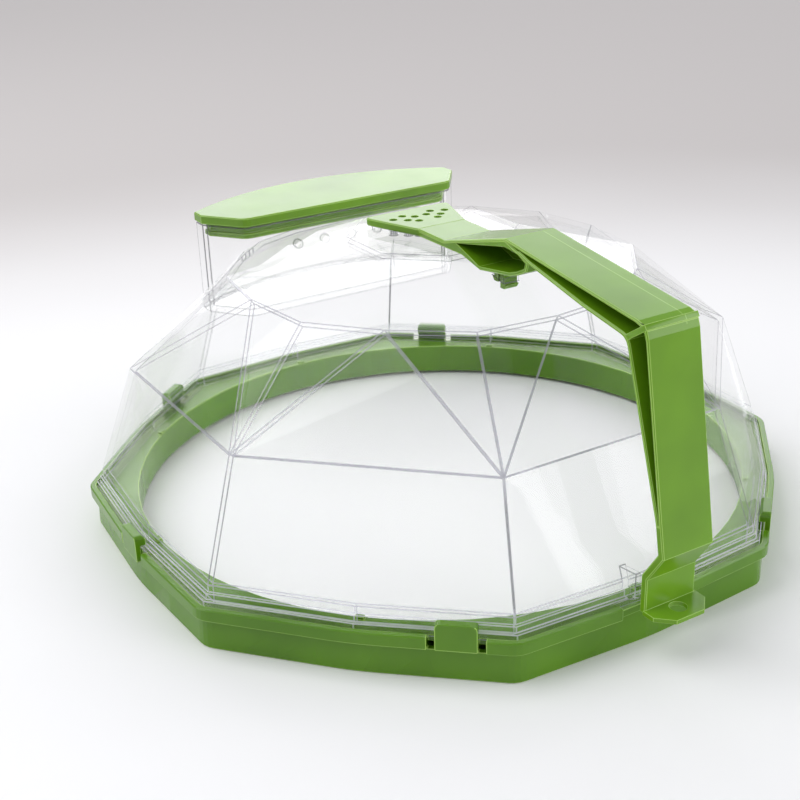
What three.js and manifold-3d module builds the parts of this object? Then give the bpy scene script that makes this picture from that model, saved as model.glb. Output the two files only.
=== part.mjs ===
// Microwave splatter cover: a faceted clear dome on an eight-sided base ring.
// Six snap tabs of the ring hook over the rim of the dome, a water tank is let into the back of the dome
// and closed by a lid, and a carrying handle runs from the rim over the crown.
// Lengths are in millimetres and +Z is up. The handle lies towards -Y and the tank towards +Y. The
// pieces are drawn round the middle of the ring, and then moved so that the origin is on the surface
// that the ring stands on, under the middle of the whole cover.
import * as THREE from 'three';
import { mergeVertices } from 'three/addons/utils/BufferGeometryUtils.js';
import Module from 'manifold-3d';

const wasm = await Module();
wasm.setup();

// Shared clearances
const SEAT_GAP = 0.3;
const SLIDE_GAP = 0.4;
const CUT_OVERRUN = 6;
const WELD = 0.5;
const EDGE_SOFTENING = 0.4;

// Outline of the ring and the dome: eight corners, each side bent outwards a little at its middle
const CORNER_COUNT = 8;
const SIDE_MID_SHARE = 0.948;
const CORNER_ROUNDING = 3;
const MID_ROUNDING = 8;
const ROUNDING_STEPS = 3;
const HALF_SIDE_STEPS = 4;

// Base ring
const BASE_CORNER_RADIUS = 131;
const SKIRT_DRAFT = 0.5;
const SKIRT_WALL = 2.2;
const LEDGE_HEIGHT = 11;
const LIP_OVERHANG = 2.3;
const LIP_DEPTH = 4.25;
const LIP_WALL = 2.2;
const CHANNEL_DEPTH = 1.65;
const FLANGE_THICKNESS = 2.2;
const SEAT_WIDTH = 9.3;
const MOUTH_WALL = 2;
const MOUTH_WALL_FOOT = 1.2;
const NUB_WIDTH = 3;
const NUB_LENGTH = 1.8;
const NUB_HEIGHT = 0.8;
const NOTCH_WIDTH = 26.6;
const NOTCH_CLEARANCE = 0.5;

// Snap tabs of the ring
const TAB_BEARINGS_DEGREES = [-120.6, -59.4, 0, 58.2, 121.8, 180];
const TAB_NAMES = ['front_left', 'front_right', 'right', 'back_right', 'back_left', 'left'];
const TAB_WIDTH = 13;
const TAB_RISE = 4.9;
const TAB_SLIT = 2.5;
const TAB_SLIT_DEPTH = 1;
const TAB_CORNER_ROUNDING = 1.6;
const HOOK_BITE = 1;
const HOOK_LEAD_IN = 1;

// Dome
const RIM_CLEARANCE = 0.85;
const DOME_HEIGHT = 89.6;
const DOME_WALL = 2;
const RIM_FLANGE_THICKNESS = 2.6;
const RIM_STEP_INSET = 1.4;
const RIM_STEP_HEIGHT = 2.1;
const RIM_WALL_INSET = 2.6;
const RIM_WALL_HEIGHT = 7.2;
const SHOULDER_RADIUS_SHARE = 0.867;
const SHOULDER_HEIGHT_SHARE = 0.519;
const BROW_RADIUS_SHARE = 0.579;
const BROW_HEIGHT_SHARE = 0.8744;
const BROW_MID_RADIUS_SHARE = 0.563;
const BROW_MID_HEIGHT_SHARE = 0.8779;
const CROWN_RADIUS_SHARE = 0.242;

// Lugs of the dome behind the foot of the handle
const LUG_THICKNESS = 2;
const LUG_SPACING = 17.4;
const LUG_REACH = 2.8;
const LUG_HEIGHT = 10.2;
const LUG_LEAN = 0.9;
const LUG_UNDERCUT = 1.1;

// Water tank and its lid
const TANK_FRONT_SHARE = 0.4655;
const TANK_FRONT_HALF_WIDTH_SHARE = 0.358;
const TANK_SHOULDER_SHARE = 0.582;
const TANK_HALF_WIDTH_SHARE = 0.4447;
const TANK_BACK_SHARE = 0.771;
const TANK_BACK_STEPS = 12;
const TANK_CORNER_ROUNDING = 2.5;
const TANK_DROP = 5.2;
const TANK_DEPTH = 33.8;
const TANK_WALL = 2;
const LID_OVERHANG = 0.4;
const LID_THICKNESS = 3.6;
const LID_SKIRT_GAP = 1.6;
const LID_SKIRT_WALL = 1.8;
const LID_SKIRT_DEPTH = 5.3;
const LID_BEAD_HEIGHT = 2.2;
const LID_BEAD_OUTSET = 0.8;
const STEAM_HOLE_COUNT = 5;
const STEAM_HOLE_PITCH = 12;
const STEAM_HOLE_DROP = 10.3;
const HOLE_DIAMETER = 3;
const HOLE_SIDES = 12;

// Handle: finger plate over the crown
const HANDLE_WIDTH = 20;
const PLATE_GAP = 0.9;
const PLATE_THICKNESS = 2.8;
const PLATE_BACK = 18.5;
const PLATE_BACK_WIDTH = 36.6;
const PLATE_CREASE = 5;
const PLATE_CORNER_ROUNDING = 3.2;
const VENT_SPREAD = 11;
const VENT_SHARES = [[1, 0.845], [0.545, 1.027], [0.227, 0.755], [0.636, 0.518], [0.364, 0.264]];

// Handle: arm, its inner plate, web and brace
const ARM_PLATE_THICKNESS = 1.2;
const INNER_PLATE_THICKNESS = 1.3;
const WEB_THICKNESS = 2;
const WEB_OFFSET = 5;
const PEAK_REACH = 57.7;
const NECK_SETBACK = 35.7;
const NECK_DIP = 0.3;
const PEAK_RISE = 8.9;
const KNEE_SETBACK = 5.4;
const KNEE_DROP = 0.2;
const KNEE_ROUNDING = 4;
const HEEL_OUTSET = 6.6;
const HEEL_HEIGHT = 20.8;
const ANKLE_HEIGHT = 10.7;
const SHIN_RISE = 10.4;
const GRIP_LEAD = 6.9;
const GRIP_DEPTH = 7.5;
const GRIP_REACH_SHARES = [0, 0.103, 0.62, 1];
const GRIP_DEPTH_SHARES = [0.345, 0.52, 0.87, 1];
const GRIP_KNEE_INSET = 8.7;
const GRIP_KNEE_ROUNDING = 2.5;
const BRACE_THICKNESS = 1.8;

// Handle: pocket under the peak, and the snap prongs under the pocket
const POCKET_WALL = 1.3;
const POCKET_SETBACK = 24.7;
const POCKET_LENGTH = 37;
const POCKET_DEPTH = 5.4;
const POCKET_REACH_SHARES = [0, 0.284, 0.74, 0.849, 0.978, 1];
const POCKET_DEPTH_SHARES = [0.53, 1, 0.574, 0.333, -0.093, -0.537];
const POCKET_MOUTH_SETBACK = 27.7;
const PEAK_THICKNESS = 2.8;
const PRONG_WIDTH = 5.4;
const PRONG_THICKNESS = 2.2;
const FRONT_PRONG_SLIT = 0.9;
const FRONT_PRONG_SETBACK = 16;
const PRONG_SPACING = 3.5;
const BARB_BITE = 0.7;
const BARB_HEIGHT = 1.6;

// Handle: foot panel, hanging plate and its hole
const FOOT_OUTSET = 7.9;
const FOOT_THICKNESS = 2.6;
const FOOT_PLATE_LIFT = 4;
const FOOT_PLATE_WIDTH = 21;
const FOOT_PLATE_THICKNESS = 1.5;
const FOOT_PLATE_REACH = 9.3;
const FOOT_PLATE_CHAMFER = 5;
const FOOT_HOLE_RADIUS = 2.8;
const FOOT_HOLE_SETBACK = 5.6;
const FOOT_HOLE_SIDES = 24;

// Heights and radii that follow from the sizes above
const sideStep = (2 * Math.PI) / CORNER_COUNT;
const halfSideStep = sideStep / 2;
const skirtTopRadius = BASE_CORNER_RADIUS - SKIRT_DRAFT;
const lipRadius = skirtTopRadius + LIP_OVERHANG;
const lipInner = lipRadius - LIP_WALL;
const mouthRadius = lipInner * SIDE_MID_SHARE - SEAT_WIDTH;
const lipTop = LEDGE_HEIGHT + LIP_DEPTH;
const channelFloor = lipTop - CHANNEL_DEPTH;
const domeFoot = channelFloor + SEAT_GAP;
const rimRadius = lipInner - RIM_CLEARANCE;
const rimFlangeTop = domeFoot + RIM_FLANGE_THICKNESS;
const rimMid = rimRadius * SIDE_MID_SHARE;
const rimWallRadius = rimRadius - RIM_WALL_INSET;
const rimWallMid = rimWallRadius * SIDE_MID_SHARE;
const rimWallTop = domeFoot + RIM_WALL_HEIGHT;
const shoulderRadius = rimRadius * SHOULDER_RADIUS_SHARE;
const shoulderHeight = domeFoot + DOME_HEIGHT * SHOULDER_HEIGHT_SHARE;
const crownTop = domeFoot + DOME_HEIGHT;
const crownEdge = rimRadius * CROWN_RADIUS_SHARE * Math.cos(halfSideStep);
const browReach = rimRadius * BROW_MID_RADIUS_SHARE;
const browHeight = domeFoot + DOME_HEIGHT * BROW_MID_HEIGHT_SHARE;
const roofSlope = (crownTop - browHeight) / (browReach - crownEdge);
const roofDepth = DOME_WALL * Math.hypot(1, roofSlope);
const tankTop = crownTop - TANK_DROP;
const tankFloor = tankTop - TANK_DEPTH;
const plateTop = crownTop + PLATE_GAP + PLATE_THICKNESS;
const plateUnder = plateTop - PLATE_THICKNESS;
const footFace = rimMid + FOOT_OUTSET;
const footPlateBottom = LEDGE_HEIGHT + FOOT_PLATE_LIFT;
const footPlateTop = footPlateBottom + FOOT_PLATE_THICKNESS;
const neckReach = PEAK_REACH - NECK_SETBACK;
const gripStart = PEAK_REACH + GRIP_LEAD;
const pocketStart = PEAK_REACH - POCKET_SETBACK;
const pocketMouthStart = PEAK_REACH - POCKET_MOUTH_SETBACK;
const frontProngReach = PEAK_REACH - FRONT_PRONG_SETBACK;
const rearProngReach = frontProngReach + PRONG_SPACING;

function materialOf(color, roughness, opacity = 1) {
  return new THREE.MeshStandardMaterial({
    color,
    roughness,
    metalness: 0,
    opacity,
    transparent: opacity < 1,
    flatShading: true,
  });
}

const greenPlastic = materialOf('#6a9a2d', 0.35);
const clearPlastic = materialOf('#eef1f0', 0.05, 0.3);

// A closed geometry as a solid for joining and cutting
function solidOf(geometry) {
  const bare = geometry.index ? geometry.toNonIndexed() : geometry.clone();
  bare.deleteAttribute('normal');
  bare.deleteAttribute('uv');
  const merged = mergeVertices(bare);
  return new wasm.Manifold(new wasm.Mesh({
    numProp: 3,
    vertProperties: new Float32Array(merged.attributes.position.array),
    triVerts: new Uint32Array(merged.index.array),
  }));
}

function meshOf(name, solid, material) {
  const { vertProperties, triVerts } = solid.getMesh();
  const geometry = new THREE.BufferGeometry();
  geometry.setAttribute('position', new THREE.BufferAttribute(vertProperties, 3));
  geometry.setIndex(new THREE.BufferAttribute(triVerts, 1));
  const mesh = new THREE.Mesh(geometry, material);
  mesh.name = name;
  return mesh;
}

function joined(solids) {
  return solids.reduce((whole, solid) => whole.add(solid));
}

// Corner rounding: each point is [x, y] or [x, y, trim], and a trimmed corner becomes a short curve
function roundedLoop(points) {
  const count = points.length;
  return points.flatMap(([x, y, trim = 0], index) => {
    const corner = new THREE.Vector2(x, y);
    if (trim === 0) return [corner];
    const before = new THREE.Vector2(...points[(index + count - 1) % count].slice(0, 2));
    const after = new THREE.Vector2(...points[(index + 1) % count].slice(0, 2));
    const start = corner.clone().add(before.sub(corner).setLength(trim));
    const end = corner.clone().add(after.sub(corner).setLength(trim));
    return new THREE.QuadraticBezierCurve(start, corner, end).getPoints(ROUNDING_STEPS);
  });
}

// A shape in plan, extruded from one height to another, with its edges softened on request
function extruded(points, from, to, softening = 0) {
  const geometry = new THREE.ExtrudeGeometry(new THREE.Shape(roundedLoop(points)), {
    depth: to - from - 2 * softening,
    bevelEnabled: softening > 0,
    bevelThickness: softening,
    bevelSize: softening,
    bevelOffset: -softening,
    bevelSegments: 1,
  });
  geometry.translate(0, 0, from + softening);
  return geometry;
}

function planSlab(points, from, to, softening) {
  return solidOf(extruded(points, from, to, softening));
}

// A side view given as [reach towards -Y, height], extruded along X from one place to another
function sideSlab(points, from, to, softening) {
  const geometry = extruded(points, -to, -from, softening);
  const acrossTheHandle = new THREE.Matrix4().makeBasis(
    new THREE.Vector3(0, -1, 0),
    new THREE.Vector3(0, 0, 1),
    new THREE.Vector3(-1, 0, 0),
  );
  geometry.applyMatrix4(acrossTheHandle);
  return solidOf(geometry);
}

// An upright block between opposite corners
function block(low, high) {
  const size = new THREE.Vector3().subVectors(high, low);
  const geometry = new THREE.BoxGeometry(size.x, size.y, size.z);
  geometry.translate(low.x + size.x / 2, low.y + size.y / 2, low.z + size.z / 2);
  return solidOf(geometry);
}

// An upright round cutter
function drill(x, y, from, to, radius, sides) {
  const geometry = new THREE.CylinderGeometry(radius, radius, to - from, sides);
  geometry.rotateX(Math.PI / 2);
  geometry.translate(x, y, from + (to - from) / 2);
  return solidOf(geometry);
}

// The lines beside an open side-view line, at a distance to its left
function offsetLine(points, distance) {
  const line = points.map(([x, y]) => new THREE.Vector2(x, y));
  return line.map((point, index) => {
    const before = line[Math.max(index - 1, 0)];
    const after = line[Math.min(index + 1, line.length - 1)];
    const incoming = point.clone().sub(before);
    const outgoing = after.clone().sub(point);
    if (index === 0) incoming.copy(outgoing);
    if (index === line.length - 1) outgoing.copy(incoming);
    incoming.normalize();
    outgoing.normalize();
    const mean = incoming.clone().add(outgoing).normalize();
    const reach = distance / mean.dot(incoming);
    return [point.x - mean.y * reach, point.y + mean.x * reach, points[index][2] ?? 0];
  });
}

// A strip of even thickness along an open side-view line
function strip(points, thickness) {
  return [...points, ...offsetLine(points, thickness).reverse()];
}

// A closed loop in plan, moved inwards by a distance; the loop runs counterclockwise
function insetLoop(points, distance) {
  const count = points.length;
  return points.map(([x, y, trim], index) => {
    const [beforeX, beforeY] = points[(index + count - 1) % count];
    const [afterX, afterY] = points[(index + 1) % count];
    const incoming = new THREE.Vector2(x - beforeX, y - beforeY).normalize();
    const outgoing = new THREE.Vector2(afterX - x, afterY - y).normalize();
    const mean = incoming.clone().add(outgoing).normalize();
    const reach = distance / mean.dot(incoming);
    return [x - mean.y * reach, y + mean.x * reach, trim];
  });
}

// Sections of equal point count, joined one after the other and back to the first
function ringLoft(sections) {
  const count = sections[0].length;
  const indices = [];
  sections.forEach((section, level) => {
    const next = (level + 1) % sections.length;
    section.forEach((_, point) => {
      const beside = (point + 1) % count;
      const [a, b] = [level * count + point, level * count + beside];
      const [c, d] = [next * count + beside, next * count + point];
      indices.push(a, b, c, a, c, d);
    });
  });
  const geometry = new THREE.BufferGeometry().setFromPoints(sections.flat());
  geometry.setIndex(indices);
  return solidOf(geometry);
}

function onCircle(radius, angle) {
  return [radius * Math.cos(angle), radius * Math.sin(angle)];
}

// Corners and side middles of the outline, by turns
function outlineStops(radius) {
  return Array.from({ length: CORNER_COUNT }, (_, side) => [
    onCircle(radius, side * sideStep + halfSideStep),
    onCircle(radius * SIDE_MID_SHARE, (side + 1) * sideStep),
  ]).flat();
}

function sharpOctagon(radius, height) {
  return outlineStops(radius).map(([x, y]) => new THREE.Vector3(x, y, height));
}

function softOctagon(radius, height) {
  const stops = outlineStops(radius);
  const points = stops.flatMap(([x, y], index) => {
    const [nextX, nextY] = stops[(index + 1) % stops.length];
    const between = Array.from({ length: HALF_SIDE_STEPS - 1 }, (_, step) => {
      const share = (step + 1) / HALF_SIDE_STEPS;
      return [THREE.MathUtils.lerp(x, nextX, share), THREE.MathUtils.lerp(y, nextY, share)];
    });
    return [[x, y, index % 2 === 0 ? CORNER_ROUNDING : MID_ROUNDING], ...between];
  });
  return roundedLoop(points).map(({ x, y }) => new THREE.Vector3(x, y, height));
}

function roundSection(radius, height) {
  return softOctagon(BASE_CORNER_RADIUS, height).map(({ x, y, z }) => {
    const share = radius / Math.hypot(x, y);
    return new THREE.Vector3(x * share, y * share, z);
  });
}

// A stop of the outline by its number: corners are odd, side middles are even
function rimStop(radius, index) {
  const isCorner = Math.abs(index % 2) === 1;
  return new THREE.Vector2(...onCircle(isCorner ? radius : radius * SIDE_MID_SHARE, index * halfSideStep));
}

// The half side of the outline that a bearing crosses: one end of it and its outward direction
function halfSideAt(radius, bearing) {
  const index = Math.floor(bearing / halfSideStep);
  const start = rimStop(radius, index);
  const along = rimStop(radius, index + 1).sub(start);
  return { start, outward: new THREE.Vector2(along.y, -along.x).normalize() };
}

// Distance of a half side from the middle, for a corner radius of one
const firstHalfSide = halfSideAt(1, 0);
const sideShare = firstHalfSide.start.dot(firstHalfSide.outward);
const tabCut = LIP_OVERHANG * sideShare;
const tabThickness = tabCut - SEAT_GAP;

// Where a bearing meets the outer face of the lip, and the turn that takes +Y to the outward direction
function lipPlace(bearing) {
  const { start, outward } = halfSideAt(lipRadius, bearing);
  const direction = new THREE.Vector2(...onCircle(1, bearing));
  const point = direction.clone().multiplyScalar(start.dot(outward) / direction.dot(outward));
  const reach = Math.asin(TAB_WIDTH / 2 / lipRadius);
  const mean = halfSideAt(lipRadius, bearing - reach).outward;
  mean.add(halfSideAt(lipRadius, bearing + reach).outward);
  return { point, turn: Math.atan2(mean.y, mean.x) - Math.PI / 2 };
}

const tabPlaces = TAB_BEARINGS_DEGREES.map((degrees) => lipPlace(THREE.MathUtils.degToRad(degrees)));

// A solid drawn round the middle of a tab, with +Y pointing out of the lip, taken to its place
function atTab(solid, { point, turn }) {
  return solid.rotate([0, 0, THREE.MathUtils.radToDeg(turn)]).translate([point.x, point.y, 0]);
}

// The opening in the lip that a tab stands in, with a slit on each side of the tab
function tabSlot() {
  const halfSlot = TAB_WIDTH / 2 + TAB_SLIT;
  const slot = block(
    new THREE.Vector3(-halfSlot, -tabCut, LEDGE_HEIGHT),
    new THREE.Vector3(halfSlot, CUT_OVERRUN, lipTop + CUT_OVERRUN),
  );
  const slitInner = -tabCut - SKIRT_WALL;
  const slits = [-halfSlot, TAB_WIDTH / 2].map((near) => block(
    new THREE.Vector3(near, slitInner, LEDGE_HEIGHT - TAB_SLIT_DEPTH),
    new THREE.Vector3(near + TAB_SLIT, CUT_OVERRUN, lipTop + CUT_OVERRUN),
  ));
  return joined([slot, ...slits]);
}

function makeBaseRing() {
  const flangeUnder = channelFloor - FLANGE_THICKNESS;
  const ring = ringLoft([
    softOctagon(BASE_CORNER_RADIUS, 0),
    softOctagon(skirtTopRadius, LEDGE_HEIGHT),
    softOctagon(lipRadius, LEDGE_HEIGHT),
    softOctagon(lipRadius, lipTop - EDGE_SOFTENING),
    softOctagon(lipRadius - EDGE_SOFTENING, lipTop),
    softOctagon(lipInner, lipTop),
    softOctagon(lipInner, channelFloor),
    roundSection(mouthRadius, channelFloor),
    roundSection(mouthRadius, MOUTH_WALL_FOOT),
    roundSection(mouthRadius + MOUTH_WALL, MOUTH_WALL_FOOT),
    roundSection(mouthRadius + MOUTH_WALL, flangeUnder),
    softOctagon(skirtTopRadius - SKIRT_WALL, flangeUnder),
    softOctagon(BASE_CORNER_RADIUS - SKIRT_WALL, 0),
  ]);
  const nub = block(
    new THREE.Vector3(mouthRadius, -NUB_WIDTH / 2, channelFloor - WELD),
    new THREE.Vector3(mouthRadius + NUB_LENGTH, NUB_WIDTH / 2, channelFloor + NUB_HEIGHT),
  );
  const nubs = Array.from({ length: CORNER_COUNT }, (_, side) => (
    nub.rotate([0, 0, THREE.MathUtils.radToDeg(side * sideStep)])
  ));
  const notchHalfWidth = NOTCH_WIDTH / 2;
  const lipNotch = block(
    new THREE.Vector3(-notchHalfWidth, -lipRadius - CUT_OVERRUN, LEDGE_HEIGHT),
    new THREE.Vector3(notchHalfWidth, -skirtTopRadius * SIDE_MID_SHARE, lipTop + CUT_OVERRUN),
  );
  const channelNotch = block(
    new THREE.Vector3(-notchHalfWidth, -lipRadius, channelFloor),
    new THREE.Vector3(notchHalfWidth, -(rimMid - NOTCH_CLEARANCE), lipTop + CUT_OVERRUN),
  );
  const slots = tabPlaces.map((place) => atTab(tabSlot(), place));
  const body = joined([ring, ...nubs]).subtract(joined([lipNotch, channelNotch, ...slots]));
  return meshOf('base_ring', body, greenPlastic);
}

// A tab stands in its slot against the edge of the ring, and its hook reaches over the rim of the dome
function makeSnapTab(name, { point, turn }) {
  const top = lipTop + TAB_RISE;
  const halfWidth = TAB_WIDTH / 2;
  const hookTip = -(lipRadius - rimRadius) * sideShare - HOOK_BITE;
  const hookUnder = rimFlangeTop + SEAT_GAP;
  const profile = [
    [0, LEDGE_HEIGHT],
    [0, top, EDGE_SOFTENING],
    [hookTip + HOOK_LEAD_IN, top],
    [hookTip, top - HOOK_LEAD_IN],
    [hookTip, hookUnder],
    [-tabThickness, hookUnder],
    [-tabThickness, LEDGE_HEIGHT],
  ];
  const side = extruded(profile, -halfWidth, halfWidth);
  side.applyMatrix4(new THREE.Matrix4().makeBasis(
    new THREE.Vector3(0, 1, 0),
    new THREE.Vector3(0, 0, 1),
    new THREE.Vector3(1, 0, 0),
  ));
  const front = extruded([
    [-halfWidth, LEDGE_HEIGHT],
    [halfWidth, LEDGE_HEIGHT],
    [halfWidth, top, TAB_CORNER_ROUNDING],
    [-halfWidth, top, TAB_CORNER_ROUNDING],
  ], -CUT_OVERRUN, CUT_OVERRUN);
  front.rotateX(Math.PI / 2);
  const mesh = meshOf(name, solidOf(side).intersect(solidOf(front)), greenPlastic);
  mesh.position.set(point.x, point.y, 0);
  mesh.rotation.z = turn;
  return mesh;
}

function cornersAt(radius, height) {
  return Array.from({ length: CORNER_COUNT }, (_, side) => (
    new THREE.Vector3(...onCircle(radius, side * sideStep + halfSideStep), height)
  ));
}

// Corners and side middles by turns, with a radius and a height for each kind
function turnsAt(cornerRadius, cornerHeight, midRadius, midHeight) {
  return cornersAt(cornerRadius, cornerHeight).flatMap((corner, side) => [
    corner,
    new THREE.Vector3(...onCircle(midRadius, (side + 1) * sideStep), midHeight),
  ]);
}

// The faces of the dome on one of its sides, as numbers of its points seen counterclockwise from outside
function domeSideFaces(side) {
  const next = (side + 1) % CORNER_COUNT;
  const [corner, mid, nextCorner] = [2 * side, 2 * side + 1, 2 * next];
  const level = (index) => 2 * CORNER_COUNT * index;
  const shoulderStart = level(2);
  const browStart = shoulderStart + CORNER_COUNT;
  const crownStart = browStart + 2 * CORNER_COUNT;
  const crownMiddle = crownStart + CORNER_COUNT;
  const footMiddle = crownMiddle + 1;
  const rim = level(1);
  const [shoulder, nextShoulder] = [shoulderStart + side, shoulderStart + next];
  const [brow, browMid, nextBrow] = [browStart + corner, browStart + mid, browStart + nextCorner];
  const [crown, nextCrown] = [crownStart + side, crownStart + next];
  return [
    [corner, mid, rim + mid], [corner, rim + mid, rim + corner],
    [mid, nextCorner, rim + nextCorner], [mid, rim + nextCorner, rim + mid],
    [rim + corner, rim + mid, shoulder],
    [rim + mid, rim + nextCorner, nextShoulder],
    [rim + mid, nextShoulder, shoulder],
    [shoulder, nextShoulder, browMid],
    [shoulder, browMid, brow],
    [nextShoulder, nextBrow, browMid],
    [brow, browMid, crown],
    [browMid, nextCrown, crown],
    [browMid, nextBrow, nextCrown],
    [crown, nextCrown, crownMiddle],
    [footMiddle, mid, corner], [footMiddle, nextCorner, mid],
  ];
}

// The faceted form of the dome, closed underneath, with every face moved inwards by a distance
function domeForm(inset, foot) {
  const points = [
    ...turnsAt(rimWallRadius, foot, rimWallMid, foot),
    ...turnsAt(rimWallRadius, rimWallTop, rimWallMid, rimWallTop),
    ...cornersAt(shoulderRadius, shoulderHeight),
    ...turnsAt(
      rimRadius * BROW_RADIUS_SHARE,
      domeFoot + DOME_HEIGHT * BROW_HEIGHT_SHARE,
      rimRadius * BROW_MID_RADIUS_SHARE,
      domeFoot + DOME_HEIGHT * BROW_MID_HEIGHT_SHARE,
    ),
    ...cornersAt(rimRadius * CROWN_RADIUS_SHARE, crownTop),
    new THREE.Vector3(0, 0, crownTop),
    new THREE.Vector3(0, 0, foot),
  ];
  const faces = Array.from({ length: CORNER_COUNT }, (_, side) => domeSideFaces(side)).flat();
  const footMiddle = points.length - 1;
  const touching = points.map(() => []);
  faces.filter((face) => !face.includes(footMiddle)).forEach((face) => {
    const [a, b, c] = face.map((index) => points[index]);
    const outward = b.clone().sub(a).cross(c.clone().sub(a)).normalize();
    face.forEach((index) => touching[index].push(outward));
  });
  const moved = points.map((point, index) => {
    if (touching[index].length === 0) return point;
    const mean = touching[index].reduce((sum, outward) => sum.add(outward), new THREE.Vector3());
    const reach = inset * touching[index].length / mean.lengthSq();
    return point.clone().addScaledVector(mean, -reach);
  });
  const geometry = new THREE.BufferGeometry().setFromPoints(moved);
  geometry.setIndex(faces.flat());
  return solidOf(geometry);
}

// Height of the roof of the dome over the middle line of a side, between the crown and the brow
function roofHeight(reach) {
  return THREE.MathUtils.mapLinear(reach, crownEdge, browReach, crownTop, browHeight);
}

function tankOutline(overhang) {
  const halfWidth = rimRadius * TANK_HALF_WIDTH_SHARE;
  const frontHalfWidth = rimRadius * TANK_FRONT_HALF_WIDTH_SHARE;
  const front = rimRadius * TANK_FRONT_SHARE;
  const back = rimRadius * TANK_BACK_SHARE;
  const backStart = Math.acos(halfWidth / back);
  const backArc = Array.from({ length: TANK_BACK_STEPS + 1 }, (_, step) => (
    onCircle(back, THREE.MathUtils.lerp(backStart, Math.PI - backStart, step / TANK_BACK_STEPS))
  ));
  const outline = [
    [-frontHalfWidth, front, TANK_CORNER_ROUNDING],
    [frontHalfWidth, front, TANK_CORNER_ROUNDING],
    [halfWidth, rimRadius * TANK_SHOULDER_SHARE],
    ...backArc,
    [-halfWidth, rimRadius * TANK_SHOULDER_SHARE],
  ];
  return insetLoop(outline, -overhang);
}

// A flat ring round the dome that the snap tabs hold, with a step up to the wall of the dome
function makeDomeRim() {
  const stepRadius = rimRadius - RIM_STEP_INSET;
  const inner = rimWallRadius - DOME_WALL;
  return ringLoft([
    sharpOctagon(rimRadius, domeFoot),
    sharpOctagon(rimRadius, rimFlangeTop),
    sharpOctagon(stepRadius, rimFlangeTop),
    sharpOctagon(stepRadius, rimFlangeTop + RIM_STEP_HEIGHT),
    sharpOctagon(inner, rimFlangeTop + RIM_STEP_HEIGHT),
    sharpOctagon(inner, domeFoot),
  ]);
}

// Two upright lugs that stand on the rim against the wall of the dome, behind the foot of the handle
function makeLugs() {
  const lugReach = rimMid + LUG_REACH;
  const lugTop = rimFlangeTop + LUG_HEIGHT;
  const backTop = lugTop - LUG_LEAN;
  const shoulderMid = shoulderRadius * Math.cos(halfSideStep);
  const wallReach = THREE.MathUtils.mapLinear(backTop, rimWallTop, shoulderHeight, rimWallMid, shoulderMid);
  const profile = [
    [rimWallMid - WELD, rimFlangeTop - WELD],
    [rimMid - WELD, rimFlangeTop - WELD],
    [lugReach, rimFlangeTop + LUG_UNDERCUT],
    [lugReach, lugTop],
    [wallReach - WELD, backTop],
  ];
  return joined([-1, 1].map((side) => {
    const middle = side * LUG_SPACING / 2;
    return sideSlab(profile, middle - LUG_THICKNESS / 2, middle + LUG_THICKNESS / 2);
  }));
}

function ventCutters() {
  const places = VENT_SHARES.flatMap(([across, back]) => [
    [VENT_SPREAD * across, VENT_SPREAD * back],
    [-VENT_SPREAD * across, VENT_SPREAD * back],
  ]);
  return joined(places.map(([x, y]) => (
    drill(x, y, crownTop - CUT_OVERRUN, plateTop + CUT_OVERRUN, HOLE_DIAMETER / 2, HOLE_SIDES)
  )));
}

function prongSlot() {
  return block(
    new THREE.Vector3(
      -PRONG_WIDTH / 2 - SLIDE_GAP,
      -(rearProngReach + PRONG_THICKNESS + SLIDE_GAP),
      roofHeight(rearProngReach) - CUT_OVERRUN,
    ),
    new THREE.Vector3(PRONG_WIDTH / 2 + SLIDE_GAP, -(frontProngReach - SLIDE_GAP), crownTop),
  );
}

// The space in the roof of the dome that the water tank fills
function tankSpace() {
  return planSlab(tankOutline(SEAT_GAP), tankFloor - TANK_WALL - CUT_OVERRUN, crownTop + CUT_OVERRUN);
}

function makeDome() {
  const shell = domeForm(0, domeFoot).subtract(domeForm(DOME_WALL, domeFoot - CUT_OVERRUN));
  const cuts = joined([ventCutters(), prongSlot(), tankSpace()]);
  const body = joined([shell, makeDomeRim(), makeLugs()]).subtract(cuts);
  return meshOf('dome', body, clearPlastic);
}

// Holes through the front wall of the water tank, for the steam
function steamCutters() {
  const front = rimRadius * TANK_FRONT_SHARE;
  const height = tankTop - STEAM_HOLE_DROP;
  return joined(Array.from({ length: STEAM_HOLE_COUNT }, (_, hole) => {
    const x = (hole - (STEAM_HOLE_COUNT - 1) / 2) * STEAM_HOLE_PITCH;
    const radius = HOLE_DIAMETER / 2;
    const geometry = new THREE.CylinderGeometry(radius, radius, 2 * CUT_OVERRUN, HOLE_SIDES);
    geometry.translate(x, front, height);
    return solidOf(geometry);
  }));
}

function makeWaterTank() {
  const outer = planSlab(tankOutline(0), tankFloor - TANK_WALL, tankTop);
  const inner = planSlab(tankOutline(-TANK_WALL), tankFloor, tankTop + CUT_OVERRUN);
  return meshOf('water_tank', outer.subtract(inner).subtract(steamCutters()), clearPlastic);
}

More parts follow.
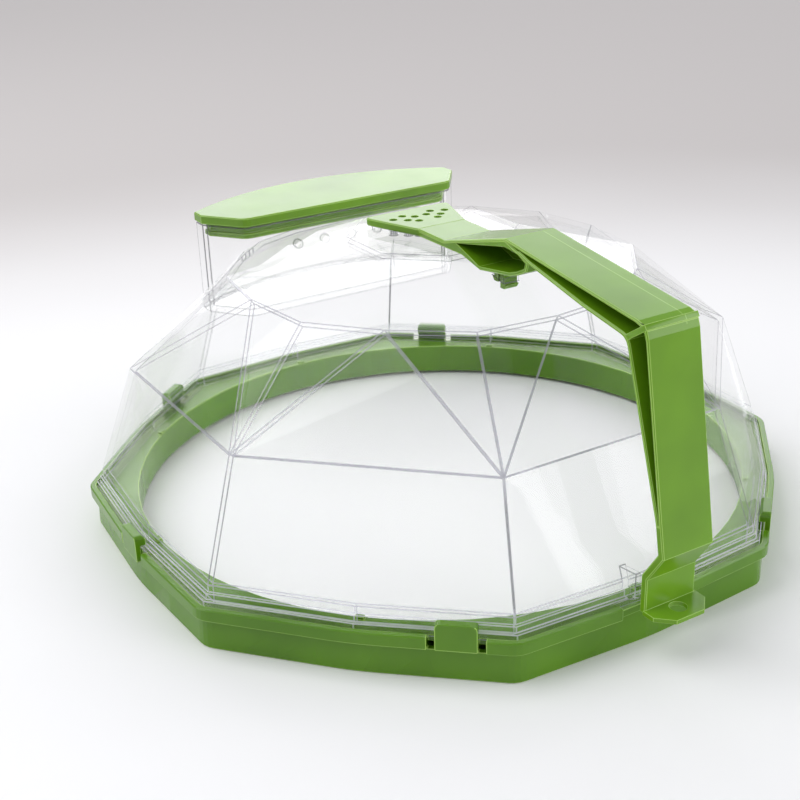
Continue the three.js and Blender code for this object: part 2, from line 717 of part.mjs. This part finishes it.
// A plate over the tank, and a skirt inside the wall of the tank with a bead round its lower edge
function makeTankLid() {
  const lidFoot = tankTop + SEAT_GAP;
  const skirtFoot = tankTop - LID_SKIRT_DEPTH;
  const skirtOutset = TANK_WALL + LID_SKIRT_GAP;
  const beadOutline = tankOutline(LID_BEAD_OUTSET - skirtOutset);
  const plate = planSlab(tankOutline(LID_OVERHANG), lidFoot, lidFoot + LID_THICKNESS, EDGE_SOFTENING);
  const skirt = planSlab(tankOutline(-skirtOutset), skirtFoot, lidFoot + WELD);
  const bead = planSlab(beadOutline, skirtFoot, skirtFoot + LID_BEAD_HEIGHT, EDGE_SOFTENING);
  const hollow = planSlab(tankOutline(-skirtOutset - LID_SKIRT_WALL), skirtFoot - CUT_OVERRUN, lidFoot);
  return meshOf('tank_lid', joined([plate, joined([skirt, bead]).subtract(hollow)]), greenPlastic);
}

// The side view of the arm along its outer face, from the finger plate down to the heel
function armLine() {
  return [
    [PLATE_CREASE, plateTop],
    [neckReach, plateTop - NECK_DIP],
    [PEAK_REACH, plateTop + PEAK_RISE],
    [footFace - KNEE_SETBACK, plateTop - KNEE_DROP, KNEE_ROUNDING],
    [footFace + HEEL_OUTSET, footPlateTop + HEEL_HEIGHT],
  ];
}

// The side view of the shin and the foot panel along their outer face
function footLine() {
  const [, , , knee, heel] = armLine();
  const shinHeight = heel[1] + SHIN_RISE;
  return [
    [THREE.MathUtils.mapLinear(shinHeight, heel[1], knee[1], heel[0], knee[0]), shinHeight],
    heel,
    [footFace, footPlateTop + ANKLE_HEIGHT],
    [footFace, footPlateBottom],
  ];
}

// The side view of the inner plate along the face that the fingers touch
function gripLine() {
  const [, , peak, knee] = armLine();
  const end = knee[0] - GRIP_KNEE_INSET;
  const upper = GRIP_REACH_SHARES.map((share, index) => {
    const reach = THREE.MathUtils.lerp(gripStart, end, share);
    const outer = THREE.MathUtils.mapLinear(reach, peak[0], knee[0], peak[1], knee[1]);
    return [reach, outer - GRIP_DEPTH * GRIP_DEPTH_SHARES[index]];
  });
  const kneePoint = [...upper.pop(), GRIP_KNEE_ROUNDING];
  const [, heel] = offsetLine(footLine(), -FOOT_THICKNESS / 2);
  return [...upper, kneePoint, heel];
}

function makeArm() {
  const half = HANDLE_WIDTH / 2;
  const outer = armLine();
  const grip = gripLine();
  const outerMiddle = offsetLine(outer, -ARM_PLATE_THICKNESS / 2);
  const gripMiddle = offsetLine(grip, INNER_PLATE_THICKNESS / 2);
  const kneeCorners = [gripMiddle.at(-2), outerMiddle.at(-2)].map(([reach, height]) => [reach, height]);
  const brace = offsetLine(kneeCorners, -BRACE_THICKNESS / 2);
  const web = [...outerMiddle.slice(2), ...gripMiddle.toReversed()].map(([reach, height]) => [reach, height]);
  return joined([
    sideSlab(strip(outer, -ARM_PLATE_THICKNESS), -half, half, EDGE_SOFTENING),
    sideSlab(strip(grip, INNER_PLATE_THICKNESS), -half, half, EDGE_SOFTENING),
    sideSlab(strip(footLine(), -FOOT_THICKNESS), -half, half, EDGE_SOFTENING),
    sideSlab(strip(brace, BRACE_THICKNESS), -half, half),
    sideSlab(web, WEB_OFFSET - WEB_THICKNESS / 2, WEB_OFFSET + WEB_THICKNESS / 2),
  ]);
}

// The side view of the underside of the pocket
function pocketLine() {
  return POCKET_REACH_SHARES.map((share, index) => [
    pocketStart + POCKET_LENGTH * share,
    plateTop - POCKET_DEPTH * POCKET_DEPTH_SHARES[index],
  ]);
}

// Height of the underside of the pocket at a reach between its ends
function pocketUnder(reach) {
  const line = pocketLine();
  const index = line.findIndex(([end]) => end > reach);
  const [[startReach, startHeight], [endReach, endHeight]] = [line[index - 1], line[index]];
  return THREE.MathUtils.mapLinear(reach, startReach, endReach, startHeight, endHeight);
}

// The neck of the handle and the pocket under its peak, open towards both sides of a web
function makePocket() {
  const half = HANDLE_WIDTH / 2;
  const outer = armLine();
  const [crease, neck, peak] = offsetLine(outer, -ARM_PLATE_THICKNESS / 2);
  const [, neckUnder, peakUnder] = offsetLine(outer, -ARM_PLATE_THICKNESS);
  const [gripRoot, gripCorner] = offsetLine(gripLine(), INNER_PLATE_THICKNESS / 2);
  const [gripFace] = gripLine();
  const outline = [[PLATE_CREASE, plateUnder], ...pocketLine(), gripCorner, gripRoot, peak, neck, crease];
  const mouthHeight = THREE.MathUtils.mapLinear(
    pocketMouthStart,
    neckUnder[0],
    peakUnder[0],
    neckUnder[1],
    peakUnder[1],
  );
  const mouth = [
    [pocketMouthStart, mouthHeight],
    ...offsetLine(pocketLine(), POCKET_WALL).slice(1),
    gripFace,
    [PEAK_REACH, plateTop + PEAK_RISE - PEAK_THICKNESS],
  ];
  const hollows = [
    sideSlab(mouth, -half - CUT_OVERRUN, WEB_OFFSET - WEB_THICKNESS / 2),
    sideSlab(mouth, WEB_OFFSET + WEB_THICKNESS / 2, half + CUT_OVERRUN),
  ];
  return sideSlab(outline, -half, half, EDGE_SOFTENING).subtract(joined(hollows));
}

// Prongs that point down through the roof of the dome, with barbs that face away from each other
function makeProngs() {
  const half = PRONG_WIDTH / 2;
  const roofUnder = (reach) => roofHeight(reach) - roofDepth;
  const rootAt = (reach) => pocketUnder(reach) + POCKET_WALL / 2;
  const frontBack = frontProngReach + PRONG_THICKNESS;
  const frontBarb = roofUnder(frontProngReach) - SEAT_GAP;
  const rearFace = rearProngReach + PRONG_THICKNESS;
  const rearBarbTip = rearFace + SLIDE_GAP + BARB_BITE;
  const rearBarb = roofUnder(rearBarbTip) - SEAT_GAP;
  const frontProfile = [
    [frontProngReach, rootAt(frontProngReach)],
    [frontProngReach, frontBarb],
    [frontProngReach - SLIDE_GAP - BARB_BITE, frontBarb],
    [frontProngReach, frontBarb - BARB_HEIGHT],
    [frontBack, frontBarb - BARB_HEIGHT],
    [frontBack, rootAt(frontBack)],
  ];
  const rearProfile = [
    [rearProngReach, rootAt(rearProngReach)],
    [rearProngReach, rearBarb - BARB_HEIGHT],
    [rearFace, rearBarb - BARB_HEIGHT],
    [rearBarbTip, rearBarb],
    [rearFace, rearBarb],
    [rearFace, rootAt(rearFace)],
  ];
  return joined([
    sideSlab(frontProfile, -half, -FRONT_PRONG_SLIT / 2),
    sideSlab(frontProfile, FRONT_PRONG_SLIT / 2, half),
    sideSlab(rearProfile, -half, half),
  ]);
}

function makeFingerPlate() {
  const front = -PLATE_CREASE - ARM_PLATE_THICKNESS;
  return planSlab([
    [-HANDLE_WIDTH / 2, front],
    [HANDLE_WIDTH / 2, front],
    [PLATE_BACK_WIDTH / 2, PLATE_BACK, PLATE_CORNER_ROUNDING],
    [-PLATE_BACK_WIDTH / 2, PLATE_BACK, PLATE_CORNER_ROUNDING],
  ], plateUnder, plateTop, EDGE_SOFTENING);
}

// The plate that stands out from the lower end of the foot panel, with a round hole to hang the cover by
function makeFootPlate() {
  const half = FOOT_PLATE_WIDTH / 2;
  const root = -(footFace - WELD);
  const tip = -(footFace + FOOT_PLATE_REACH);
  const plate = planSlab([
    [-half, root],
    [-half, tip + FOOT_PLATE_CHAMFER],
    [-half + FOOT_PLATE_CHAMFER, tip],
    [half - FOOT_PLATE_CHAMFER, tip],
    [half, tip + FOOT_PLATE_CHAMFER],
    [half, root],
  ], footPlateBottom, footPlateTop);
  const hole = drill(
    0,
    tip + FOOT_HOLE_SETBACK,
    footPlateBottom - CUT_OVERRUN,
    footPlateTop + CUT_OVERRUN,
    FOOT_HOLE_RADIUS,
    FOOT_HOLE_SIDES,
  );
  return plate.subtract(hole);
}

function makeHandle() {
  const whole = joined([makeFingerPlate(), makeArm(), makePocket(), makeProngs(), makeFootPlate()]);
  return meshOf('handle', whole.subtract(ventCutters()), greenPlastic);
}

const pieces = new THREE.Group();
pieces.add(makeBaseRing(), makeDome(), makeWaterTank(), makeTankLid(), makeHandle());
TAB_NAMES.forEach((name, index) => pieces.add(makeSnapTab(`snap_tab_${name}`, tabPlaces[index])));
const middle = new THREE.Box3().setFromObject(pieces, true).getCenter(new THREE.Vector3());
pieces.position.y = -middle.y;

const cover = new THREE.Group();
cover.add(pieces);

export default cover;
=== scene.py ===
import math

import bpy
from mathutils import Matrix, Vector

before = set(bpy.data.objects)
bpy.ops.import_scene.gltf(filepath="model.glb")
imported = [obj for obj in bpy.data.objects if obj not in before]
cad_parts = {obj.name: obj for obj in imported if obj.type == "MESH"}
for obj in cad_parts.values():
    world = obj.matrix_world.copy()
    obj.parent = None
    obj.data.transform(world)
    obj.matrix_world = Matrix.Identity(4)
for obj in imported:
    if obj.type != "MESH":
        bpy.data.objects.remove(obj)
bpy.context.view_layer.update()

MM = 0.001
# Distance from the middle of the ring to the origin of the frame, which is under the middle of the box
RING_MIDDLE_Y = 7.294 * MM

# Green plastic: the darkest and lightest tone of each moulding
GREEN = ("#5b8613", "#6d9d19")
RING_GREEN = ("#4e7a0e", "#5f8f15")
# Pale green for the rounded edges of the green mouldings: a painted highlight along every edge, not a
# tone of the plastic
EDGE_HIGHLIGHT_GREEN = ("#93bb4c", "#a9cf66")
LINE_GREEN = "#8db650"
TONE_SCALE = 28.0
TONE_LIMITS = (0.3, 0.7)
GREEN_ROUGHNESS = (0.18, 0.28)
GREEN_SMEAR_SCALE = 75.0
RIPPLE_SCALE = 160.0
RIPPLE_STRENGTH = 0.12
RIPPLE_DEPTH = 0.1 * MM
GREEN_IOR = 1.45
SUBSURFACE_WEIGHT = 0.06
SUBSURFACE_RADIUS = (0.4, 1.0, 0.15)
SUBSURFACE_SCALE = 1.0 * MM

# Parting line on the outer face of the arm, in mm: place across, half its width, and where it ends
LINE_X = 5
LINE_HALF_WIDTH = 0.18
LINE_BEFORE_Y = -51
LINE_ABOVE_Z = 104.5

# Clear plastic: colours for heights above the floor, in mm: olive on the flange of the rim as painted
# shade, for the shaded green channel seen through it, greyer on the upright wall of the rim, near white
# above
RAMP_TOP = 120.0
RAMP_NOISE_SCALE = 90.0
CLEAR_PAINTED_SHADE_BY_HEIGHT = (
    (16.6, (0.34, 0.40, 0.22)),
    (17.0, (0.80, 0.82, 0.80)),
    (21.0, (0.86, 0.87, 0.86)),
    (21.6, (0.99, 0.995, 0.993)),
)
CLEAR_UNEVENNESS = 0.004
CLEAR_ALPHA = 0.4
CLEAR_WAVE_SCALE = 16.0
CLEAR_ROUGHNESS = (0.0, 0.02)
CLEAR_IOR = 1.002
COAT_IOR = 1.5
COAT_ROUGHNESS = 0.02
# Rounded edges of the clear plastic, a grey for each height in mm: a painted highlight (pale) on the
# edges of the rim, painted shade (dark grey) on the ridges of the dome and the corners of the tank, made
# a little blue by EDGE_BLUE
DOME_EDGE_PAINTED_LIGHT = ((21, 0.85), (24, 0.24), (52, 0.24), (56, 0.45), (96, 0.45), (99, 0.2))
TANK_EDGE_PAINTED_SHADE = ((70, 0.16), (90, 0.12))
EDGE_BLUE = 1.12
EDGE_UNEVENNESS = 0.012
EDGE_SMEAR_SCALE = 90.0
EDGE_TRANSMISSION = 0.5
EDGE_ALPHA = 0.85

# Rounded edges: the width of each rounding, and the angles in radians from which edges are rounded
DOME_EDGE_WIDTH = 0.28 * MM
TANK_EDGE_WIDTH = 0.4 * MM
FINE_EDGE_WIDTH = 0.12 * MM
RING_EDGE_WIDTH = 0.25 * MM
EVERY_RIDGE = 0.12
TANK_CORNERS = 0.6
HANDLE_CORNERS = 0.45
SHARP_CORNERS = 1.2
ROUNDING_SEGMENTS = 2
WELD_DISTANCE = 0.004 * MM
FLAT_LIMIT = 0.02

# Camera at the photograph's angle
CAMERA_PLACE = (-239.71 * MM, -377.20 * MM + RING_MIDDLE_Y, 234.82 * MM)
CAMERA_DEGREES = (66.12, 1.793, -31.435)
CAMERA_SENSOR = 36
CAMERA_LENS = 57.716

# Floor, in metres: a painted pool of light near the part, fading to painted shade (greyer) far from a
# point in front of it
FLOOR_HALF = 8.0
FLOOR_DROP = 0.0002
FLOOR_PALE_MIDDLE = (-0.12, -0.28, 0)
FLOOR_PAINTED_LIGHT_POOL = (0.5, (0.87, 0.87, 0.88, 1))
FLOOR_PAINTED_SHADE = (0.95, (0.54, 0.515, 0.51, 1))
FLOOR_CLOUD_SCALE = 3.0
FLOOR_CLOUD_SHARE = 0.1
FLOOR_ROUGHNESS = 0.85
FLOOR_SPECULAR = 0.2

# Soft studio light: world, and area lights as name, place and size in metres, and power in watts
WORLD_COLOR = (0.92, 0.92, 0.95, 1)
WORLD_STRENGTH = 0.6
LIGHT_TARGET = (0, 0, 0.04)
LIGHTS = (
    ("overhead", (-0.75, 0.45, 1.2), (1.3, 1.3), 12),
    ("back", (3.6, 7.0, 2.9), (11.0, 4.0), 300),
    ("side", (6.6, -6.0, 3.0), (8.0, 6.0), 420),
)

# Constants of the sRGB transfer curve
BYTE_MAX = 255
SRGB_LINEAR_END = 0.04045
SRGB_SLOPE = 12.92
SRGB_OFFSET = 0.055
SRGB_POWER = 2.4


def linear(hexcode):
    parts = [int(hexcode[i:i + 2], 16) / BYTE_MAX for i in (1, 3, 5)]
    color = []
    for part in parts:
        if part <= SRGB_LINEAR_END:
            color.append(part / SRGB_SLOPE)
        else:
            color.append(((part + SRGB_OFFSET) / (1 + SRGB_OFFSET)) ** SRGB_POWER)
    return [*color, 1.0]


def new_material(name):
    material = bpy.data.materials.new(name)
    material.use_nodes = True
    tree = material.node_tree
    return material, tree, tree.nodes["Principled BSDF"]


def node(tree, kind, **values):
    made = tree.nodes.new(kind)
    for key, value in values.items():
        setattr(made, key, value)
    return made


def noise_at(tree, scale, detail=2.0):
    coords = node(tree, "ShaderNodeTexCoord")
    noise = node(tree, "ShaderNodeTexNoise")
    noise.inputs["Scale"].default_value = scale
    noise.inputs["Detail"].default_value = detail
    tree.links.new(coords.outputs["Object"], noise.inputs["Vector"])
    return noise.outputs["Fac"]


def object_place(tree):
    coords = node(tree, "ShaderNodeTexCoord")
    place = node(tree, "ShaderNodeSeparateXYZ")
    tree.links.new(coords.outputs["Object"], place.inputs["Vector"])
    return place


def vary_roughness(tree, shader, noise, limits):
    gloss = node(tree, "ShaderNodeMapRange")
    gloss.inputs["To Min"].default_value = limits[0]
    gloss.inputs["To Max"].default_value = limits[1]
    tree.links.new(noise, gloss.inputs["Value"])
    tree.links.new(gloss.outputs["Result"], shader.inputs["Roughness"])


def green_plastic(name, tones):
    """Satin moulded plastic with broad patches of two tones and faint ripples."""
    material, tree, shader = new_material(name)
    ramp = node(tree, "ShaderNodeValToRGB")
    for element, position, tone in zip(ramp.color_ramp.elements, TONE_LIMITS, tones):
        element.position = position
        element.color = linear(tone)
    tree.links.new(noise_at(tree, TONE_SCALE, 3.0), ramp.inputs["Fac"])
    tree.links.new(ramp.outputs["Color"], shader.inputs["Base Color"])
    vary_roughness(tree, shader, noise_at(tree, GREEN_SMEAR_SCALE, 3.0), GREEN_ROUGHNESS)
    bump = node(tree, "ShaderNodeBump")
    bump.inputs["Strength"].default_value = RIPPLE_STRENGTH
    bump.inputs["Distance"].default_value = RIPPLE_DEPTH
    tree.links.new(noise_at(tree, RIPPLE_SCALE, 1.0), bump.inputs["Height"])
    tree.links.new(bump.outputs["Normal"], shader.inputs["Normal"])
    shader.inputs["IOR"].default_value = GREEN_IOR
    shader.inputs["Subsurface Weight"].default_value = SUBSURFACE_WEIGHT
    shader.inputs["Subsurface Radius"].default_value = SUBSURFACE_RADIUS
    shader.inputs["Subsurface Scale"].default_value = SUBSURFACE_SCALE
    return material


def mask_where(tree, value, operation, limit, tolerance=0.0):
    mask = node(tree, "ShaderNodeMath", operation=operation)
    mask.inputs[1].default_value = limit
    mask.inputs[2].default_value = tolerance
    tree.links.new(value, mask.inputs[0])
    return mask.outputs["Value"]


def both_masks(tree, first, second):
    product = node(tree, "ShaderNodeMath", operation="MULTIPLY")
    tree.links.new(first, product.inputs[0])
    tree.links.new(second, product.inputs[1])
    return product.outputs["Value"]


def parting_line(material, color):
    """A fine pale line along the outer face of the handle's arm, off its middle."""
    tree = material.node_tree
    shader = tree.nodes["Principled BSDF"]
    place = object_place(tree)
    across = mask_where(tree, place.outputs["X"], "COMPARE", LINE_X * MM, LINE_HALF_WIDTH * MM)
    outside = mask_where(tree, place.outputs["Y"], "LESS_THAN", LINE_BEFORE_Y * MM)
    above = mask_where(tree, place.outputs["Z"], "GREATER_THAN", LINE_ABOVE_Z * MM)
    line = both_masks(tree, both_masks(tree, across, outside), above)
    mix = node(tree, "ShaderNodeMix", data_type="RGBA")
    plain_color = shader.inputs["Base Color"].links[0].from_socket
    tree.links.new(line, mix.inputs["Factor"])
    tree.links.new(plain_color, mix.inputs["A"])
    mix.inputs["B"].default_value = linear(color)
    tree.links.new(mix.outputs["Result"], shader.inputs["Base Color"])
    return material


def height_ramp(tree, levels, unevenness):
    """A colour for each height above the floor, in mm, with the steps made a little uneven."""
    height = node(tree, "ShaderNodeMapRange")
    height.inputs["From Max"].default_value = RAMP_TOP * MM
    tree.links.new(object_place(tree).outputs["Z"], height.inputs["Value"])
    uneven = node(tree, "ShaderNodeMath", operation="MULTIPLY_ADD")
    uneven.inputs[1].default_value = unevenness
    tree.links.new(noise_at(tree, RAMP_NOISE_SCALE), uneven.inputs[0])
    tree.links.new(height.outputs["Result"], uneven.inputs[2])
    ramp = node(tree, "ShaderNodeValToRGB")
    while len(ramp.color_ramp.elements) < len(levels):
        ramp.color_ramp.elements.new(0.5)
    for element, (level, color) in zip(ramp.color_ramp.elements, levels):
        element.position = level / RAMP_TOP
        element.color = (*color, 1)
    tree.links.new(uneven.outputs["Value"], ramp.inputs["Fac"])
    return ramp.outputs["Color"]


def gloss_of_clear(tree, shader, noise):
    """The walls are thin, so light goes straight through them, and a coat gives the gloss of plastic."""
    vary_roughness(tree, shader, noise, CLEAR_ROUGHNESS)
    shader.inputs["IOR"].default_value = CLEAR_IOR
    shader.inputs["Coat Weight"].default_value = 1.0
    shader.inputs["Coat IOR"].default_value = COAT_IOR
    shader.inputs["Coat Roughness"].default_value = COAT_ROUGHNESS


def clear_plastic():
    """Clear walls: the thick flange of the rim is painted olive as painted shade, for the shaded green
    channel seen through it, and the upright wall of the rim is greyish.
    """
    material, tree, shader = new_material("clear_moulding")
    # Painted shade: olive at the flange of the rim, greyer on its upright wall, by height
    tree.links.new(height_ramp(tree, CLEAR_PAINTED_SHADE_BY_HEIGHT, CLEAR_UNEVENNESS), shader.inputs["Base Color"])
    gloss_of_clear(tree, shader, noise_at(tree, CLEAR_WAVE_SCALE, 1.0))
    shader.inputs["Transmission Weight"].default_value = 1.0
    shader.inputs["Alpha"].default_value = CLEAR_ALPHA
    return material


def clear_edges_painted_light(name, painted_levels):
    """Rounded edges of the clear plastic, painted with light: a grey for each height, in mm, pale for a
    painted highlight and dark for painted shade.
    """
    material, tree, shader = new_material(name)
    levels = [(level, (shade, shade, shade * EDGE_BLUE)) for level, shade in painted_levels]
    tree.links.new(height_ramp(tree, levels, EDGE_UNEVENNESS), shader.inputs["Base Color"])
    gloss_of_clear(tree, shader, noise_at(tree, EDGE_SMEAR_SCALE))
    shader.inputs["Transmission Weight"].default_value = EDGE_TRANSMISSION
    shader.inputs["Alpha"].default_value = EDGE_ALPHA
    return material


def smooth_edges(obj, width, angle, merge_faces):
    """Rounded edges on a CAD node, as modifiers: its own mesh stays as in model.glb."""
    weld = obj.modifiers.new("weld", "WELD")
    weld.merge_threshold = WELD_DISTANCE
    if merge_faces:
        flat = obj.modifiers.new("flat", "DECIMATE")
        flat.decimate_type = "DISSOLVE"
        flat.angle_limit = FLAT_LIMIT
    bevel = obj.modifiers.new("bevel", "BEVEL")
    bevel.width = width
    bevel.segments = ROUNDING_SEGMENTS
    bevel.limit_method = "ANGLE"
    bevel.angle_limit = angle
    bevel.use_clamp_overlap = False
    # The rounded faces take the second material, which paints highlight and shade on the edges
    bevel.material = 1


def dress_nodes():
    """Give each CAD node its plastic, the material of its edges and their rounding: the edge material
    paints a highlight on the green edges, and highlight and shade on the clear ones.
    """
    green = green_plastic("green_moulding", GREEN)
    ring_green = green_plastic("green_ring", RING_GREEN)
    arm_green = parting_line(green_plastic("green_handle", GREEN), LINE_GREEN)
    # Painted highlight: a paler green on the rounded edges of the green mouldings
    green_edge_highlight = green_plastic("green_edges", EDGE_HIGHLIGHT_GREEN)
    clear = clear_plastic()
    # Painted highlight and painted shade on the rounded edges of the dome and the tank
    dome_edge_painted_light = clear_edges_painted_light("dome_edges", DOME_EDGE_PAINTED_LIGHT)
    tank_edge_painted_shade = clear_edges_painted_light("tank_edges", TANK_EDGE_PAINTED_SHADE)
    finishes = {
        "dome": (clear, dome_edge_painted_light, DOME_EDGE_WIDTH, EVERY_RIDGE, True),
        "water_tank": (clear, tank_edge_painted_shade, TANK_EDGE_WIDTH, TANK_CORNERS, True),
        "handle": (arm_green, green_edge_highlight, FINE_EDGE_WIDTH, HANDLE_CORNERS, True),
        "tank_lid": (green, green_edge_highlight, FINE_EDGE_WIDTH, HANDLE_CORNERS, True),
    }
    ring_finish = (ring_green, green_edge_highlight, RING_EDGE_WIDTH, SHARP_CORNERS, False)
    for name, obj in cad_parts.items():
        face, edge, width, angle, merge_faces = finishes.get(name, ring_finish)
        obj.data.materials.clear()
        obj.data.materials.append(face)
        obj.data.materials.append(edge)
        smooth_edges(obj, width, angle, merge_faces)


def add_camera():
    data = bpy.data.cameras.new("camera")
    data.sensor_width = CAMERA_SENSOR
    data.lens = CAMERA_LENS
    camera = bpy.data.objects.new("camera", data)
    bpy.context.scene.collection.objects.link(camera)
    camera.location = CAMERA_PLACE
    camera.rotation_euler = [math.radians(turn) for turn in CAMERA_DEGREES]
    bpy.context.scene.camera = camera


def floor_paint():
    material, tree, shader = new_material("floor")
    coords = node(tree, "ShaderNodeTexCoord")
    distance = node(tree, "ShaderNodeVectorMath", operation="DISTANCE")
    distance.inputs[1].default_value = FLOOR_PALE_MIDDLE
    tree.links.new(coords.outputs["Object"], distance.inputs[0])
    cloudy = node(tree, "ShaderNodeMath", operation="MULTIPLY_ADD")
    cloudy.inputs[1].default_value = FLOOR_CLOUD_SHARE
    tree.links.new(noise_at(tree, FLOOR_CLOUD_SCALE), cloudy.inputs[0])
    tree.links.new(distance.outputs["Value"], cloudy.inputs[2])
    # Painted pool of light near the part, fading to painted shade with distance
    ramp = node(tree, "ShaderNodeValToRGB")
    ramp.color_ramp.interpolation = "EASE"
    for element, (position, color) in zip(ramp.color_ramp.elements, (FLOOR_PAINTED_LIGHT_POOL, FLOOR_PAINTED_SHADE)):
        element.position = position
        element.color = color
    tree.links.new(cloudy.outputs["Value"], ramp.inputs["Fac"])
    tree.links.new(ramp.outputs["Color"], shader.inputs["Base Color"])
    shader.inputs["Roughness"].default_value = FLOOR_ROUGHNESS
    shader.inputs["Specular IOR Level"].default_value = FLOOR_SPECULAR
    return material


def add_floor():
    half = FLOOR_HALF
    corners = [(-half, -half, 0), (half, -half, 0), (half, half, 0), (-half, half, 0)]
    mesh = bpy.data.meshes.new("floor")
    mesh.from_pydata(corners, [], [(0, 1, 2, 3)])
    floor = bpy.data.objects.new("floor", mesh)
    bpy.context.scene.collection.objects.link(floor)
    floor.location.z = -FLOOR_DROP
    floor.data.materials.append(floor_paint())


def add_world():
    world = bpy.data.worlds.new("studio")
    world.use_nodes = True
    background = world.node_tree.nodes["Background"]
    background.inputs["Color"].default_value = WORLD_COLOR
    background.inputs["Strength"].default_value = WORLD_STRENGTH
    bpy.context.scene.world = world


def area_light(name, location, size, power):
    data = bpy.data.lights.new(name, "AREA")
    data.shape = "RECTANGLE"
    data.size, data.size_y = size
    data.energy = power
    light = bpy.data.objects.new(name, data)
    bpy.context.scene.collection.objects.link(light)
    light.location = location
    light.visible_camera = False
    light.rotation_mode = "QUATERNION"
    light.rotation_quaternion = (Vector(LIGHT_TARGET) - Vector(location)).to_track_quat("-Z", "Y")


dress_nodes()
add_camera()
add_floor()
add_world()
for name, location, size, power in LIGHTS:
    area_light(name, location, size, power)
bpy.context.scene.view_settings.view_transform = "Standard"
